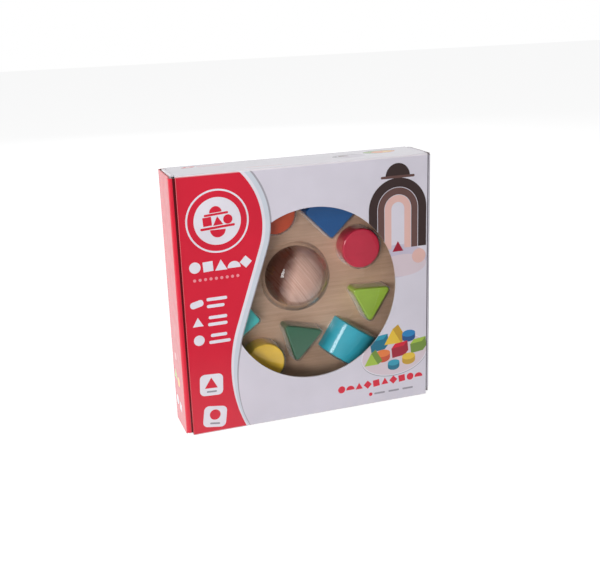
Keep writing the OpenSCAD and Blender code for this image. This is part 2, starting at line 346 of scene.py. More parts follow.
def card_piece(name, path, place, outline, prints=(), holes=(), ink="paper", wear_and_highlight=FOLD_WEAR_AND_HIGHLIGHT):
    """Sheet of card along a fold path, with prints painted in order.
    A flat point is (distance across, distance along the path); place turns it into a frame point."""
    loops = [outline, *holes, *(points for _, points in prints)]
    inks = [ink] * (1 + len(holes)) + [key for key, _ in prints]
    flat, faces = [], []
    for loop in loops:
        faces.append(list(range(len(flat), len(flat) + len(loop))))
        flat += left_turning(loop)
    reach = max(abs(p[0]) for p in outline) + LINE_PAST
    lines = []
    for v in path.marks:
        lines.append((len(flat), len(flat) + 1))
        flat += [Vector((-reach, v)), Vector((reach, v))]
    flat, _, triangles, _, _, owners = delaunay_2d_cdt(flat, lines, faces, 0, FLAT_STEP)
    kept = [(t, max(own)) for t, own in zip(triangles, owners)
            if 0 in own and not any(1 <= i <= len(holes) for i in own)]
    used = sorted({i for t, _ in kept for i in t})
    index = {i: k for k, i in enumerate(used)}
    n = len(used)
    outer, inner, normals, worn_and_lit = [], [], [], []
    for i in used:
        u, v = flat[i]
        p, d, w = path.at(v)
        outer.append(place(u, p))
        inner.append(place(u, p - d * CARD_T))
        normals.append((place(u, p + d) - place(u, p)).normalized())
        worn_and_lit.append(w * wear_and_highlight)
    polygons, slots, colours, loop_normals, sides = [], [], [], [], {}
    blank = linear(INKS[ink])
    for t, owner in kept:
        i, j, k = (index[x] for x in t)
        if (outer[j] - outer[i]).cross(outer[k] - outer[i]).dot(normals[i]) < 0:
            j, k = k, j
        rgb = Vector(linear(INKS[inks[owner]]))
        polygons.append((i, j, k))
        slots.append(0)
        # Folds made paler: part wear, part painted highlight along the fold
        colours += [rgb.lerp(Vector(WORN_AND_LIT), worn_and_lit[x]) for x in (i, j, k)]
        loop_normals += [normals[x] for x in (i, j, k)]
        polygons.append((n + k, n + j, n + i))
        slots.append(1)
        colours += [blank] * 3
        loop_normals += [-normals[x] for x in (k, j, i)]
        for a, b in ((i, j), (j, k), (k, i)):
            if sides.pop((b, a), None) is None:
                sides[a, b] = rgb
    for (a, b), rgb in sides.items():
        polygons.append((b, a, n + a, n + b))
        slots.append(2)
        colours += [rgb] * 4
        out = (outer[b] - outer[a]).cross(normals[a]).normalized()
        loop_normals += [out] * 4
    mesh = bpy.data.meshes.new(name)
    mesh.from_pydata([p * MM for p in outer + inner], [], polygons)
    mesh.polygons.foreach_set("material_index", slots)
    mesh.polygons.foreach_set("use_smooth", [True] * len(polygons))
    layer = mesh.color_attributes.new("ink", "FLOAT_COLOR", "CORNER")
    layer.data.foreach_set("color", [c for rgba in colours for c in rgba])
    for m in (PRINT, BOARD_SIDE, CUT_EDGE):
        mesh.materials.append(m)
    mesh.normals_split_custom_set(loop_normals)
    return add_object(name, mesh)


def add_object(name, data):
    o = bpy.data.objects.new(name, data)
    bpy.context.scene.collection.objects.link(o)
    return o


def settle(o, node, body, slot, *more_nodes):
    """Piece o rides on the body and stands for the node, whose frame parts are hidden; slot is not used."""
    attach(o, body)
    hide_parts(node, *more_nodes)
    return o


# Materials


def new_material(name):
    """New material, its node tree, its main shader and a socket with the place on the object."""
    material = bpy.data.materials.new(name)
    material.use_nodes = True
    tree = material.node_tree
    return material, tree, tree.nodes["Principled BSDF"], object_place(tree)


def feed(tree, node, inputs):
    """Inputs by name or number: a socket is linked, a value is set."""
    for key, value in inputs.items():
        if isinstance(value, bpy.types.NodeSocket):
            tree.links.new(value, node.inputs[key])
        else:
            node.inputs[key].default_value = value


def add_node(tree, kind, inputs=None, **settings):
    """New node with its settings and inputs."""
    node = tree.nodes.new(kind)
    for key, value in settings.items():
        setattr(node, key, value)
    feed(tree, node, inputs or {})
    return node


def object_place(tree, kind="Object"):
    return tree.nodes.new("ShaderNodeTexCoord").outputs[kind]


def noise(tree, place, size_mm, detail=3.0, rough=0.5):
    """Noise whose features are about size_mm across."""
    return add_node(tree, "ShaderNodeTexNoise", {
        "Vector": place, "Scale": 1 / (size_mm * MM), "Detail": detail, "Roughness": rough}).outputs["Fac"]


def spread(tree, value, low, high, start=0.3, end=0.7):
    """Value from start to end, spread over low to high."""
    return add_node(tree, "ShaderNodeMapRange", {
        "Value": value, "From Min": start, "From Max": end, "To Min": low, "To Max": high}).outputs["Result"]


def scaled_colour(tree, colour, factor):
    """Colour, a socket or a value, made lighter or darker by a factor socket."""
    return add_node(tree, "ShaderNodeVectorMath", {0: colour, 1: factor}, operation="MULTIPLY").outputs[0]


def mixed(tree, factor, a, b):
    return add_node(tree, "ShaderNodeMix", {0: factor, 6: a, 7: b}, data_type="RGBA").outputs[2]


def mixed_shader(tree, factor, a, b):
    return add_node(tree, "ShaderNodeMixShader", {0: factor, 1: a, 2: b}).outputs[0]


def computed(tree, operation, a, b):
    return add_node(tree, "ShaderNodeMath", {0: a, 1: b}, operation=operation).outputs[0]


def product(tree, a, b):
    return computed(tree, "MULTIPLY", a, b)


def bump(tree, height, distance_mm, strength=0.5):
    return add_node(tree, "ShaderNodeBump", {
        "Height": height, "Distance": distance_mm * MM, "Strength": strength}).outputs["Normal"]


def print_material():
    """Varnished print: ink colour with a fine dot and a slow unevenness, soft sheen, fibres below."""
    material, tree, bsdf, place = new_material("printed_card")
    ink = add_node(tree, "ShaderNodeAttribute", attribute_name="ink").outputs["Color"]
    dots = spread(tree, noise(tree, place, size_mm=0.5), low=0.97, high=1.03)
    slow = spread(tree, noise(tree, place, size_mm=45, detail=2), low=0.955, high=1.03)
    fibres = noise(tree, place, size_mm=1.6, detail=4)
    feed(tree, bsdf, {
        "Base Color": scaled_colour(tree, ink, product(tree, dots, slow)),
        "Roughness": spread(tree, noise(tree, place, size_mm=12), low=0.4, high=0.52),
        "Normal": bump(tree, fibres, distance_mm=0.03, strength=0.35),
        "Specular IOR Level": 0.15, "Coat Weight": 0.9, "Coat Roughness": 0.12})
    return material


def board_side_material():
    """Unprinted side of the card: grey with fibres and flecks."""
    material, tree, bsdf, place = new_material("card_inner_side")
    flecks = noise(tree, place, size_mm=0.9, detail=5, rough=0.7)
    flecks = spread(tree, flecks, low=0, high=1, start=0.38, end=0.66)
    fibres = noise(tree, place, size_mm=0.7, detail=5)
    feed(tree, bsdf, {
        "Base Color": mixed(tree, flecks, linear((112, 104, 98)), linear((146, 136, 128))),
        "Roughness": spread(tree, noise(tree, place, size_mm=3), low=0.8, high=0.95),
        "Normal": bump(tree, fibres, distance_mm=0.06)})
    return material


def cut_edge_material():
    """Cut edge of the card: pale core with some of the print on it."""
    material, tree, bsdf, place = new_material("card_cut_edge")
    ink = add_node(tree, "ShaderNodeAttribute", attribute_name="ink").outputs["Color"]
    flecks = spread(tree, noise(tree, place, size_mm=0.4, detail=4), low=0, high=1)
    core = mixed(tree, flecks, linear((186, 177, 173)), linear((210, 202, 198)))
    share = spread(tree, noise(tree, place, size_mm=6), low=0.45, high=0.7)
    layers = noise(tree, place, size_mm=0.3, detail=4)
    feed(tree, bsdf, {
        "Base Color": mixed(tree, share, core, ink), "Roughness": 0.9,
        "Normal": bump(tree, layers, distance_mm=0.08)})
    return material


def streaks(tree, place, length_mm, width_mm, lean=0, detail=2, rough=0.55):
    """Noise drawn out in the XZ plane, leaning by lean degrees from X."""
    along = add_node(tree, "ShaderNodeMapping", {
        "Vector": place, "Rotation": (0, -math.radians(lean), 0),
        "Scale": (length_mm * MM, length_mm * MM, width_mm * MM)}, vector_type="TEXTURE")
    return add_node(tree, "ShaderNodeTexNoise", {
        "Vector": along.outputs[0], "Scale": 1.0, "Detail": detail, "Roughness": rough}).outputs["Fac"]


def wood_material(name, pale, dark, lean, streak_mm, contrast, rough):
    """Lacquered wood with straight grain."""
    material, tree, bsdf, place = new_material(name)
    lines = streaks(tree, place, length_mm=140, width_mm=streak_mm, lean=lean)
    lines = spread(tree, lines, low=0, high=1, start=0.5 - contrast, end=0.5 + contrast)
    pores = streaks(tree, place, length_mm=9, width_mm=0.35, lean=lean)
    pores = spread(tree, pores, low=0.9, high=1.04)
    patches = spread(tree, noise(tree, place, size_mm=40, detail=2), low=0.93, high=1.05)
    colour = mixed(tree, lines, linear(dark), linear(pale))
    gloss = streaks(tree, place, length_mm=30, width_mm=1.2, lean=lean)
    grain = streaks(tree, place, length_mm=12, width_mm=0.5, lean=lean, detail=3)
    feed(tree, bsdf, {
        "Base Color": scaled_colour(tree, colour, product(tree, pores, patches)),
        "Roughness": spread(tree, gloss, low=rough - 0.06, high=rough + 0.08),
        "Normal": bump(tree, grain, distance_mm=0.05, strength=0.4)})
    return material


def add_painted_shade(material, c):
    """Painted shade, darker and redder, on one side of a turned piece about c, in millimetres."""
    tree = material.node_tree
    base = tree.nodes["Principled BSDF"].inputs["Base Color"]
    unshaded = base.links[0].from_socket
    place = object_place(tree)
    offset = add_node(tree, "ShaderNodeVectorMath", {0: place, 1: Vector(c) * MM}, operation="SUBTRACT")
    depth = add_node(tree, "ShaderNodeVectorMath", {0: offset.outputs[0], 1: SHADE_SIDE},
                     operation="DOT_PRODUCT").outputs["Value"]
    wave = spread(tree, noise(tree, place, size_mm=16, detail=2), low=-SHADE_WAVE * MM, high=SHADE_WAVE * MM)
    start, end = SHADE_EDGE
    share = add_node(tree, "ShaderNodeMapRange", {
        "Value": computed(tree, "ADD", depth, wave),
        "From Min": start * MM, "From Max": end * MM, "To Min": 0, "To Max": 1},
        interpolation_type="SMOOTHSTEP").outputs["Result"]
    tree.links.new(mixed(tree, share, unshaded, scaled_colour(tree, unshaded, SHADE_TINT)), base)


def paint_material(name, rgb, rough=0.36):
    """Satin paint on wood: faint grain and a slightly uneven coat."""
    material, tree, bsdf, place = new_material(name)
    lines = streaks(tree, place, length_mm=40, width_mm=1.1, detail=3, rough=0.5)
    coat = spread(tree, noise(tree, place, size_mm=14, detail=2), low=0.94, high=1.05)
    shade = product(tree, coat, spread(tree, lines, low=0.97, high=1.03))
    gloss = noise(tree, place, size_mm=5)
    feed(tree, bsdf, {
        "Base Color": scaled_colour(tree, linear(rgb)[:3], shade),
        "Roughness": spread(tree, gloss, low=rough - 0.05, high=rough + 0.07),
        "Normal": bump(tree, lines, distance_mm=0.05, strength=0.3),
        "Specular IOR Level": 0.4, "Coat Weight": 0.1, "Coat Roughness": 0.15})
    return material


def film_material(name, edge_on, milk):
    """Thin clear film: reflects, tints and scatters more where it is seen edge-on."""
    material, tree, bsdf, place = new_material(name)
    facing = add_node(tree, "ShaderNodeLayerWeight", {"Blend": 0.5}).outputs["Facing"]
    grazing = computed(tree, "POWER", facing, FILM_FALLOFF)
    share = spread(tree, grazing, *FILM_REFLECTS, start=0, end=1)
    tinted = spread(tree, facing, low=0, high=1, start=0.5, end=0.97)
    milky = spread(tree, facing, low=0, high=milk, start=0.6, end=1.0)
    ripple = noise(tree, place, size_mm=24, detail=1)
    feed(tree, bsdf, {
        "Base Color": FILM_SHEEN, "Metallic": 1.0,
        "Roughness": spread(tree, noise(tree, place, size_mm=20), low=0.03, high=0.07),
        "Normal": bump(tree, ripple, distance_mm=0.4, strength=0.03)})
    through = mixed(tree, tinted, FILM_STRAIGHT, edge_on)
    clear = add_node(tree, "ShaderNodeBsdfTransparent", {"Color": through}).outputs[0]
    white = add_node(tree, "ShaderNodeBsdfDiffuse", {"Color": FILM_MILK}).outputs[0]
    surface = mixed_shader(tree, milky, mixed_shader(tree, share, clear, bsdf.outputs[0]), white)
    tree.links.new(surface, tree.nodes["Material Output"].inputs["Surface"])
    return material


PRINT = print_material()
BOARD_SIDE = board_side_material()
CUT_EDGE = cut_edge_material()


# Printed designs: inks and shapes, painted in order. On the front, points are (x, z)


def band_edge(offset):
    """Printed band's right edge, moved right, from above the panel to below it; narrower near the table."""
    lean = math.radians(WAVE_LEAN)
    normal = Vector((math.cos(lean), -math.sin(lean)))
    along = Vector((math.sin(lean), math.cos(lean)))
    crest = CREST - Vector((CREST_R, 0))
    trough = crest + (CREST_R + TROUGH_R) * normal - WAVE_RUN * along
    upper = arc(crest, CREST_R + offset, CREST_TOP, -WAVE_LEAN, BAND_STEPS)
    lower = []
    for i in range(BAND_STEPS + 1):
        a = 180 - WAVE_LEAN + (TROUGH_END - 180 + WAVE_LEAN) * i / BAND_STEPS
        on_edge = trough + polar(a, TROUGH_R)
        lower.append(on_edge - polar(a, offset * rim_share(on_edge.y)))
    return upper + lower


def rim_share(z):
    """Share of the printed rim's width left at height z."""
    return min(1.0, max(RIM_LEAST, RIM_LEAST + (1 - RIM_LEAST) * (z - RIM_LOW) / RIM_RISE))


def left_of_band(offset):
    """All that lies to the left of the band's moved edge."""
    past, low = END_X + PRINT_PAST, FOLD_R * PRINT_FOLD
    edge = [Vector((p.x, min(max(p.y, low), HEIGHT - low))) for p in band_edge(offset)]
    return edge + [Vector((-past, edge[-1].y)), Vector((-past, edge[0].y))]


def window_outline():
    """Round window, cut straight along the printed rim."""
    edge = band_edge(WINDOW_RIM)
    inside = [p for p in edge if (p - WINDOW_C).length < WINDOW_R]
    top, low = inside[0], inside[-1]
    start = math.degrees(math.atan2(low.y - WINDOW_C.y, low.x - WINDOW_C.x))
    end = math.degrees(math.atan2(top.y - WINDOW_C.y, top.x - WINDOW_C.x))
    return inside + arc(WINDOW_C, WINDOW_R, start, end if end > start else end + 360, steps=120)


def block_picture(c, size, face, side, kind):
    """Small drawn block: a lit face and a darker side below or beside it."""
    c = Vector(c)
    if kind == "round":
        flat = 0.62
        body = arc(c, size, 180, 360, 20) + [c + Vector((size, size)), c + Vector((-size, size))]
        return [(side, [Vector((p.x, c.y + (p.y - c.y) * flat)) for p in body]),
                (face, oval(c + Vector((0, size * flat)), size, size * 0.5))]
    if kind == "square":
        front = box(c, 2 * size, 1.5 * size, 6)
        lift = Vector((0.6 * size, 0.7 * size))
        top = [front[3], front[2], front[2] + lift, front[3] + lift]
        return [(side, [front[1], front[1] + lift, top[2], front[2]]), (side, front), (face, top)]
    front = ngon(c, 1.25 * size, 3)
    lift = Vector((0.7 * size, 0.5 * size))
    return [(side, [front[0], front[2], front[2] + lift, front[0] + lift]), (face, front)]


def medallion(c, r):
    """Ringed disc with a plain picture of blocks balanced on a half ball."""
    x, z = c
    return [
        ("white", disc(c, r, 72)), ("red", disc(c, r - 1.7, 72)), ("white", disc(c, r - 7.6, 72)),
        ("red", half_disc((x, z - 8), 7.4, 180)), ("red", bar((x, z - 5.8), 33, 2.3, 4)),
        ("red", box((x - 9.6, z + 0.2), 8.3, 8.3, 4)), ("red", ngon((x + 0.4, z - 1), 5.6, 3, 94)),
        ("red", disc((x + 10, z + 0.9), 4.4)), ("red", bar((x - 0.9, z + 6.6), 23, 2.1, 4)),
        ("red", half_disc((x - 1.3, z + 8.2), 5.9, 4)),
    ]


def front_prints():
    """Front panel: the band with its rim, plain marks on it, and plain pictures on the right."""
    rim = [("rim_grey", left_of_band(WINDOW_RIM + 0.9)), ("rim_pale", left_of_band(WINDOW_RIM - 0.9)),
           ("white", left_of_band(3)), ("red", left_of_band(0))]
    shapes = medallion((-89, 210.5), 30)
    row = [disc((-113, 168.5), 5.4), box((-100.5, 168.3), 9.6, 9.6, 3), ngon((-88, 167), 6.8, 3),
           half_disc((-75.5, 164.4), 6.4), ngon((-64, 168.8), 6, 4)]
    shapes += [("white", s) for s in row]
    shapes += [("pink", disc((-114 + 5.2 * i, 156.2), 1.5, 16)) for i in range(9)]
    for i, z in enumerate((133, 115, 97)):
        x = -113.5
        icon = (bar((x, z), 13, 6.5, 14), ngon((x, z - 1), 6, 3), disc((x, z), 5.2))[i]
        shapes += [("white", icon), ("white", bar((x + 19.5, z + 3.4), 20 - 2 * i, 3.2)),
                   ("white", bar((x + 18 + i, z - 3.4), 17 + 2 * i, 3.2))]
    for (x, z), angle in (((-104.5, 50.3), -3), ((-103, 16.6), -8)):
        shapes.append(("white", box((x, z), 23, 22, angle, r=5)))
    shapes += [("red", ngon((-104.7, 50.6), 7.4, 3, 87)), ("grey", bar((-104.6, 43.3), 10, 1.8, -3)),
               ("red", disc((-102.8, 18.6), 5.4)), ("grey", bar((-103.4, 9.4), 10, 1.8, -8))]
    return rim + shapes + upper_picture() + lower_picture() + title_row()


def upper_picture():
    """Plain nested arches with a few blocks, in the upper right corner."""
    x, z = 93, 203
    return [
        ("lilac", oval((x - 1, 150), 33, 17)), ("rose", oval((x + 5, 145), 26, 11.5)),
        ("dark_brown", arch((x, z), 31, 22, 40)), ("brown", arch((x, z), 21.4, 14.5, 40)),
        ("peach", arch((x, z), 14, 7, 40)), ("dark_brown", half_disc((x, z + 32.4), 13)),
        ("brown", bar((x, z + 32), 36, 2.6)), ("blue", box((66, 161), 17.5, 17.5, 8)),
        ("navy", box((65.4, 150.8), 17.5, 3.4, 8)), ("peach", disc((116, 153), 7.5)),
        ("maroon", ngon((x, 163.5), 7, 3)),
    ]


def lower_picture():
    """Plain pile of coloured blocks on a pale disc, in the lower right corner."""
    shapes = [("grey", oval((89, 50), 37, 22.5, 3, 56)), ("white", oval((89, 50.8), 37, 22.5, 3, 56)),
              ("rose", oval((89, 50.8), 36, 21.6, 3, 56))]
    pile = [((70, 63), 7.5, "teal", "deep_teal", "square"), ((87, 68), 8.6, "yellow", "ochre", "triangle"),
            ((105, 67), 7.4, "blue", "navy", "round"), ((114, 55), 6.8, "lime", "olive", "square"),
            ((76, 49), 8, "orange", "rust", "round"), ((93, 53), 7, "red", "maroon", "square"),
            ((105, 42), 7.4, "yellow", "ochre", "round"), ((63, 47), 7, "lime", "olive", "triangle"),
            ((88, 38), 6.6, "teal", "deep_teal", "round")]
    for c, size, face, side, kind in pile:
        shapes += block_picture(c, size, face, side, kind)
    return shapes


def title_row():
    """Row of small red shapes with thin grey bars under it."""
    shapes = []
    for i in range(10):
        x, z = 30 + 9.6 * i, 21.5 + 0.25 * i
        kinds = (disc((x, z), 3.9, 24), ngon((x, z - 0.6), 4.7, 3), box((x, z), 7.2, 7.2, 6),
                 half_disc((x, z - 2), 4.6), ngon((x, z), 4.6, 4))
        shapes.append(("red", kinds[(3 * i + i // 5) % 5]))
    shapes += [("grey", bar((72 + 16 * i, 11), 12, 2)) for i in range(3)]
    return shapes + [("red", disc((62, 11), 2, 16))]


def top_prints():
    """Top panel, points (x, y): a red mark, thin lines and two plain ovals."""
    return [
        ("red", oval((-104, 16), 7, 3.6, 12)), ("white", half_disc((-104, 15), 2.6)),
        ("pink", bar((-82, 17.5), 28, 1.3)), ("pink", bar((-84, 13.2), 24, 1.3)),
        ("pink", bar((-38, -13.5), 34, 0.9, -4)),
        ("grey", oval((52, -1), 17, 9.5)), ("lilac", oval((54, -2.2), 15, 8)),
        ("brown", half_disc((47, -1), 5.5)), ("olive", oval((88, 8), 17, 8.5)),
        ("orange", oval((92, 6.6), 12.5, 6)), ("yellow", half_disc((96, 4.5), 5)),
    ]


def back_prints():
    """Back panel, points (x, z): a red foot band with white shapes and a pale disc of coloured shapes."""
    width = 2 * (END_X + PRINT_PAST)
    shapes = [("red", box((0, 30), width, 34)), ("rim_pale", box((0, 48.6), width, 3))]
    for i in range(9):
        c = (-96 + 24 * i, 30)
        shapes.append(("white", (disc(c, 6.5), ngon(c, 8, 3), box(c, 12, 12), ngon(c, 8, 4))[i % 4]))
    shapes.append(("lilac", disc((0, 150), 74, 96)))
    shapes.append(("white", disc((0, 150), 71, 96)))
    wheel = ("red", "yellow", "teal", "lime", "orange", "blue", "olive", "yellow", "teal")
    for i, ink in enumerate(wheel):
        c = Vector((0, 150)) + polar(90 + 40 * i, 48)
        shapes.append((ink, (disc(c, 13), ngon(c, 15, 3), box(c, 22, 22, 40 * i))[i % 3]))
    return shapes + [("ochre", disc((0, 150), 20)), ("peach", disc((0, 150), 18.6))]


def sleeve():
    """Card sleeve: glued flap, back, bottom, front with its window, and top, in one folded sheet."""
    glue_top = GLUE_HIGH.z - CARD_GAP
    flat = BACK_Y - FRONT_Y - 2 * FOLD_R
    path = FoldPath(
        (GLUE_LOW.y, glue_top), 0,
        (GLUE_HIGH.y - GLUE_LOW.y, 0), (FOLD_R, 90), (glue_top - 2 * FOLD_R, 0), (FOLD_R, 90), (flat, 0),
        (FOLD_R, 90), (HEIGHT - 2 * FOLD_R, 0), (FOLD_R, 90), (flat + FOLD_R, 0))
    _, glue_end, back, _, _, _, front, _, top = path.starts()
    glue_x = GLUE_HIGH.x
    outline = [(-END_X, glue_end), (-glue_x, glue_end), (GLUE_CUT - glue_x, 0), (glue_x - GLUE_CUT, 0),
               (glue_x, glue_end), (END_X, glue_end), (END_X, path.length), (-END_X, path.length)]

    def on_front(points):
        return [(p[0], front + p[1] - FOLD_R) for p in points]

    def on_top(points):
        return [(p[0], top + p[1] - FRONT_Y - FOLD_R) for p in points]

    def on_back(points):
        return [(p[0], back + glue_top - FOLD_R - p[1]) for p in points]

    prints = [(k, on_front(s)) for k, s in front_prints()] + [(k, on_top(s)) for k, s in top_prints()]
    prints += [(k, on_back(s)) for k, s in back_prints()]
    return card_piece("printed_sleeve", path, lambda u, p: Vector((u, p.x, p.y)), outline, prints,
                      [on_front(window_outline())])


def end_place(side, order, upside_down=False):
    """Turns a right end's flat point into a frame point of the left or right end."""
    def place(u, p):
        x, y, z = (p.x, p.y, u) if order == "xy" else (p.x, u, p.y)
        return Vector((side * x, y, HEIGHT - z if upside_down else z))
    return place


def tuck_flap(name, side, ink, prints):
    """End flap: fold from the back panel, flat, and fold towards the tongue, where a dark painted shadow is
    printed.
    The right one is notched below and has a grey line of painted shade along that fold."""
    r = TUCK_FOLD_R
    reach = FLAP_HIGH.x - r - FLAP_LOW.x
    path = FoldPath((FLAP_LOW.x + CREASE_GAP, BACK_Y), 0, (reach - CREASE_GAP, 0), (r, 90),
                    (BACK_Y - FLAP_LOW.y - 2 * r, 0), (r, 90), (reach, 0))
    _, _, flat, fold, _ = path.starts()
    low, high, end = FLAP_LOW.z, FLAP_HIGH.z, path.length
    fold_low, fold_high = TONGUE_LOW.z + (FLAP_NOTCH if side > 0 else 0), TONGUE_HIGH.z
    outline = [(low, 0), (low, fold), (fold_low, fold), (fold_low, end), (fold_high, end),
               (fold_high, fold), (high, fold), (high, 0)]
    shown = [(k, [(p[1], flat + BACK_Y - r - p[0]) for p in s]) for k, s in prints]
    at_low, at_high = RIGHT_SLOT_SHADOW if side > 0 else LEFT_SLOT_SHADOW
    # Painted shadow: a dark strip along the tongue fold, where the slot lies in shade
    shown.append((ink + "_crease", [(low, end - at_low), (high, end - at_high), (high, end), (low, end)]))
    if side > 0:
        # Painted shade: grey line along the right flap's fold
        start, stop = (fold + v for v in RIGHT_SHADE_LINE)
        shown.append(("rim_grey", [(low, start), (high, start), (high, stop), (low, stop)]))
    return card_piece(name, path, end_place(side, "xy"), outline, shown, ink=ink, wear_and_highlight=0)


def tongue(name, side, ink):
    """Tongue tucked behind the front panel, with rounded free corners."""
    run = TONGUE_HIGH.x - TONGUE_LOW.x
    path = FoldPath((TONGUE_HIGH.x, TONGUE_LOW.y), 180, (run, 0))
    low, high = TONGUE_LOW.z, TONGUE_HIGH.z
    outline = [(high, 0), (low, 0)]
    outline += arc((low + TONGUE_R, run - TONGUE_R), TONGUE_R, 180, 90, 8)
    outline += arc((high - TONGUE_R, run - TONGUE_R), TONGUE_R, 90, 0, 8)
    return card_piece(name, path, end_place(side, "xy"), outline, ink=ink)


def dust_flap(name, side, upside_down):
    """Dust flap folded from the top or bottom panel, with its slanted rear edge."""
    lift, r = DUST_HIGH.x - END_X, FOLD_R
    path = FoldPath((END_X + CREASE_GAP, HEIGHT), 0,
                    (lift - r - CREASE_GAP, 0), (r, 90), (HEIGHT - r - DUST_LOW.z, 0))
    bend_end, end = path.starts()[2], path.length
    tip = DUST_HIGH.y - DUST_TAPER * (end - bend_end)
    outline = [(DUST_LOW.y, 0), (DUST_HIGH.y, 0), (DUST_HIGH.y, bend_end), (tip, end), (DUST_LOW.y, end)]
    return card_piece(name, path, end_place(side, "xz", upside_down), outline)


# Turned and moulded pieces


class Solid:
    """Mesh built from rings of points."""

    FILL_STEP = 1e-5
    MERGE = 0.002

    def __init__(self):
        self.points, self.faces = [], []

    def ring(self, points):
        self.points += [Vector(p) for p in points]
        return list(range(len(self.points) - len(points), len(self.points)))

    def bridge(self, a, b):
        n = len(a)
        self.faces += [(a[i], a[(i + 1) % n], b[(i + 1) % n], b[i]) for i in range(n)]

    def loft(self, rings):
        made = [self.ring(r) for r in rings]
        for a, b in zip(made, made[1:]):
            self.bridge(a, b)
        return made

    def cap(self, ring):
        self.faces.append(tuple(ring))

    def closed_loft(self, rings):
        made = self.loft(rings)
        self.cap(made[0])
        self.cap(made[-1])

    def fill(self, outline, holes):
        """Flat filling in the XZ plane between an outline and holes, all rings."""
        order, flat, faces = [], [], []
        for loop in (outline, *holes):
            points = [Vector((self.points[i].x, self.points[i].z)) for i in loop]
            if left_turning(points) != points:
                loop, points = loop[::-1], points[::-1]
            faces.append(list(range(len(flat), len(flat) + len(loop))))
            order += loop
            flat += points
        level = self.points[outline[0]].y
        flat, _, triangles, origin, _, owners = delaunay_2d_cdt(flat, [], faces, 0, self.FILL_STEP)
        made = [order[o[0]] if o else self.ring([(p.x, level, p.y)])[0] for p, o in zip(flat, origin)]
        self.faces += [tuple(made[i] for i in t) for t, own in zip(triangles, owners) if own == [0]]

    def piece(self, name, material, sharp=None):
        mesh = bpy.data.meshes.new(name)
        mesh.from_pydata([p * MM for p in self.points], [], self.faces)
        b = bmesh.new()
        b.from_mesh(mesh)
        bmesh.ops.remove_doubles(b, verts=b.verts, dist=self.MERGE * MM)
        bmesh.ops.recalc_face_normals(b, faces=b.faces)
        b.to_mesh(mesh)
        b.free()
        mesh.polygons.foreach_set("use_smooth", [True] * len(mesh.polygons))
        if sharp:
            mesh.set_sharp_from_angle(angle=math.radians(sharp))
        mesh.materials.append(material)
        return add_object(name, mesh)


def on_board(node, points, rise):
    """Points of a piece's outline, at a rise in front of the board."""
    angle, share, turn = PLACES[node]
    c = polar(angle, share * BOARD_R) + Vector((0, BOARD_Z))
    return [(p.x, BOARD_FRONT - rise, p.y) for p in turned(points, c, turn)]


def mirrored(ends):
    """Profile from one end of a piece to the other: distance along it and size."""
    return [(-a, q) for a, q in ends] + [(a, q) for a, q in reversed(ends)]


def quarter(r, angles):
    """Points of a quarter circle, distance and rise."""
    return [(r * math.cos(math.radians(a)), r * math.sin(math.radians(a))) for a in angles]


def outline_of(node, grow):
    """Outline of a round, triangular or square block, grown by grow."""
    if "round_block" in node and "half" not in node:
        return disc((0, 0), ROUND_R + grow, steps=72)
    if "triangle" in node:
        return rounded_polygon(3, TRIANGLE_SIDE / math.sqrt(3), grow)
    return rounded_polygon(4, SQUARE_SIDE / math.sqrt(2), grow, first=135)


def edge_profile(height, r, steps=5):
    """Growth and rise round a solid with rounded lower and upper edges."""
    inset = r + CAP_INSET
    low = [(-inset, 0)] + [(p.x, p.y) for p in arc((-r, r), r, -90, 0, steps)]
    high = [(p.x, p.y) for p in arc((-r, height - r), r, 0, 90, steps)] + [(-inset, height)]
    return low + high


def block(node, material):
    """Round, triangular or square block with rounded edges."""
    solid = Solid()
    profile = edge_profile(BLOCK_T, EDGE_R)
    solid.closed_loft([on_board(node, outline_of(node, g), h) for g, h in profile])
    return solid.piece("painted_" + node, material)


def half_round_block(node, material):
    """Half cylinder lying on its flat side, turned edges rounded."""
    solid = Solid()
    half, inner_r = HALF_ROUND_LEN / 2, HALF_ROUND_R - EDGE_R
    ends = [(half - EDGE_R + p.y, inner_r + p.x) for p in arc((0, 0), EDGE_R, 90, 0, steps=5)]
    rings = []
    for a, r in mirrored([(half, inner_r - CAP_INSET)] + ends):
        section = arc((0, 0), r, 0, 180, steps=40)
        rings.append([on_board(node, [(a, p.x)], p.y)[0] for p in section])
    solid.closed_loft(rings)
    return solid.piece("painted_" + node, material, sharp=40)


def half_ball(material):
    """Turned half ball with a slightly eased rim, flat on the board."""
    solid = Solid()
    profile = [(BALL_R + g, h) for g, h in BALL_RIM] + quarter(BALL_R, range(3, 90, 3))
    solid.closed_loft([on_board("half_ball", disc((0, 0), r, steps=96), h) for r, h in profile])
    return solid.piece("turned_half_ball", material)


def wall_profile(wall, top, foot, shoulder):
    """Foot and shoulder of a formed wall: distance outwards and rise."""
    return [(wall + g, h) for g, h in foot] + [(wall + g, top + h) for g, h in shoulder]


def film_rings(node, rise):
    """Bubble over a block, with a foot, a draft and a shoulder."""
    top = BLOCK_T + BUBBLE_HEAD + FILM_T
    profile = wall_profile(BUBBLE_CLEAR, top, BUBBLE_FOOT, BUBBLE_SHOULDER)
    return [on_board(node, outline_of(node, grow), rise + h) for grow, h in profile]


def dome_rings(rise):
    """Bubble over the half ball, on a small foot."""
    r = BALL_R + DOME_CLEAR
    profile = [(r + g, h) for g, h in DOME_FOOT] + quarter(r, DOME_ANGLES)
    return [on_board("half_ball", disc((0, 0), g, steps=96), rise + h) for g, h in profile]


